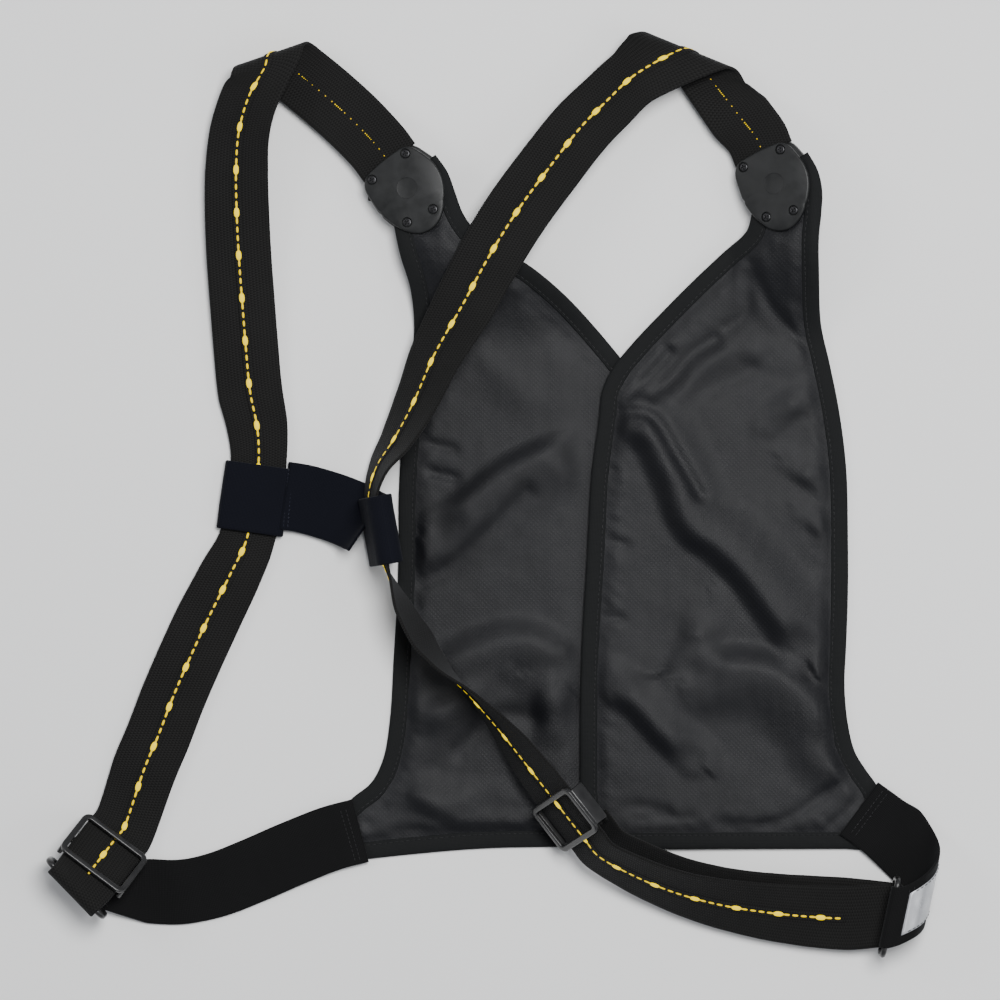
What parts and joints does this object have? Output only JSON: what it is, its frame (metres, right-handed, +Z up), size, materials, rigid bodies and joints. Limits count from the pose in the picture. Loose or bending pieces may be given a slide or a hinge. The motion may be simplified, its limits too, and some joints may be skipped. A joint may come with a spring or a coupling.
{
  "type": "light-up visibility harness vest",
  "caption": "Two overlapping fabric front panels with light-lined webbing shoulder straps, back keeper, slide adjusters, side rings and elastics; lit running harness laid flat",
  "frame": {"origin": "under the middle of the vest's footprint, on the surface it lies on", "axes": "+Z up off the surface, inner side of the front panels up; +Y from the panels' bottom hems towards the shoulders; +X towards the overlapping panel's side edge"},
  "size_m": [0.5194, 0.5402, 0.0546],
  "materials": {
    "panel_fabric": "satin coated woven nylon",
    "binding_tape": "matte woven binding",
    "webbing": "ribbed polyester webbing",
    "elastic": "plain ribbed elastic",
    "keeper_elastic": "navy-black elastic",
    "light_line": "translucent light strip, lit",
    "reflective_tape": "glass-bead reflective tape",
    "moulded_plastic": "moulded acetal",
    "case_plastic": "fine-textured moulding",
    "seal_rubber": "soft matte",
    "board_laminate": "solder mask",
    "battery_wrap": "pouch foil",
    "screw_steel": "black zinc",
    "hook_and_loop": "hook and loop"
  },
  "bodies": {
    "vest": {"left_front_panel": "panel_fabric", "left_panel_binding": "binding_tape", "left_shoulder_strap": "webbing", "left_light_line": "light_line", "left_side_elastic": "elastic", "left_reflective_tape": "reflective_tape", "left_back_plate": "case_plastic", "left_front_housing": "case_plastic", "left_gasket": "seal_rubber", "left_circuit_board": "board_laminate", "left_battery_cell": "battery_wrap", "left_screw_1": "screw_steel", "left_screw_2": "screw_steel", "left_screw_3": "screw_steel", "left_screw_4": "screw_steel", "right_front_panel": "panel_fabric", "right_panel_binding": "binding_tape", "right_shoulder_strap": "webbing", "right_light_line": "light_line", "right_side_elastic": "elastic", "right_reflective_tape": "reflective_tape", "right_back_plate": "case_plastic", "right_front_housing": "case_plastic", "right_gasket": "seal_rubber", "right_circuit_board": "board_laminate", "right_battery_cell": "battery_wrap", "right_screw_1": "screw_steel", "right_screw_2": "screw_steel", "right_screw_3": "screw_steel", "right_screw_4": "screw_steel", "hook_strip": "hook_and_loop", "loop_strip": "hook_and_loop"},
    "left_adjuster": {"left_slide_adjuster": "moulded_plastic", "left_strap_tail": "webbing"},
    "right_adjuster": {"right_slide_adjuster": "moulded_plastic", "right_strap_tail": "webbing"},
    "keeper": {"back_keeper": "keeper_elastic"},
    "left_ring": {"left_side_ring": "moulded_plastic"},
    "right_ring": {"right_side_ring": "moulded_plastic"},
    "left_button": {"left_power_button": "seal_rubber"},
    "right_button": {"right_power_button": "seal_rubber"},
    "left_plug": {"left_port_plug": "seal_rubber"},
    "right_plug": {"right_port_plug": "seal_rubber"}
  },
  "joints": [
    {"name": "left_adjuster_slide", "type": "slide", "parent": "vest", "child": "left_adjuster", "axis": [-0.4742, -0.6293, 0.6157], "range_m": [0, 0.001]},
    {"name": "right_adjuster_slide", "type": "slide", "parent": "vest", "child": "right_adjuster", "axis": [0.6157, -0.788, 0], "range_m": [-0.008, 0.008]},
    {"name": "keeper_slide", "type": "slide", "parent": "vest", "child": "keeper", "axis": [0.017, -0.9999, 0], "range_m": [-0.002, 0.004]},
    {"name": "left_ring_tilt", "type": "hinge", "parent": "vest", "child": "left_ring", "pos_m": [-0.24259, -0.22972, 0.0123], "axis": [0.6947, -0.7193, 0], "range_deg": [-2.5, 2.5]},
    {"name": "right_ring_tilt", "type": "hinge", "parent": "vest", "child": "right_ring", "pos_m": [0.22991, -0.24672, 0.0287], "axis": [-0.2079, -0.9781, 0], "range_deg": [-2.5, 2.5]},
    {"name": "left_button_press", "type": "slide", "parent": "vest", "child": "left_button", "axis": [-0.2079, 0, 0.9781], "range_m": [0, 0.0006], "stiffness_N_per_m": 800},
    {"name": "right_button_press", "type": "slide", "parent": "vest", "child": "right_button", "axis": [-0.4067, 0, 0.9135], "range_m": [0, 0.0006], "stiffness_N_per_m": 800},
    {"name": "left_plug_open", "type": "hinge", "parent": "vest", "child": "left_plug", "pos_m": [-0.07348, 0.17958, 0.00511], "axis": [0.2079, 0, -0.9781], "range_deg": [0, 70]},
    {"name": "right_plug_open", "type": "hinge", "parent": "vest", "child": "right_plug", "pos_m": [0.14444, 0.18804, 0.00405], "axis": [0.4067, 0, -0.9135], "range_deg": [0, 70]}
  ]
}
